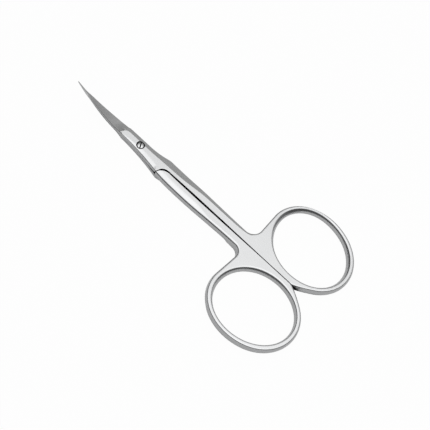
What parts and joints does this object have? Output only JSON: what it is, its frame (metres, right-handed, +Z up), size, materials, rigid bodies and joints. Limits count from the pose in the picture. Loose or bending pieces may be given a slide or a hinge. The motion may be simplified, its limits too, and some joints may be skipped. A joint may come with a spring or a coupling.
{
  "type": "nail scissors",
  "caption": "Nail scissors in satin steel with curved pointed blades, a lap joint held by a slotted pivot screw, slim straight shanks and oval finger rings.",
  "frame": {"origin": "on the pivot axis, at the surface that the closed scissors lie on", "axes": "+X from the blade tips to the finger rings, +Y towards the upper half's ring, +Z up along the pivot axis to the screw's slotted head"},
  "size_m": [0.089, 0.0456, 0.0064],
  "materials": {
    "half_steel": "satin, with finely ground bevels and blade faces",
    "screw_steel": "polished"
  },
  "bodies": {
    "lower_half": {"lower_half": "half_steel", "pivot_screw": "screw_steel"},
    "upper_half": {"upper_half": "half_steel"}
  },
  "joints": [
    {"name": "blade_pivot", "type": "hinge", "parent": "lower_half", "child": "upper_half", "pos_m": [0, 0, 0], "axis": [0, 0, 1], "range_deg": [0, 60]}
  ]
}
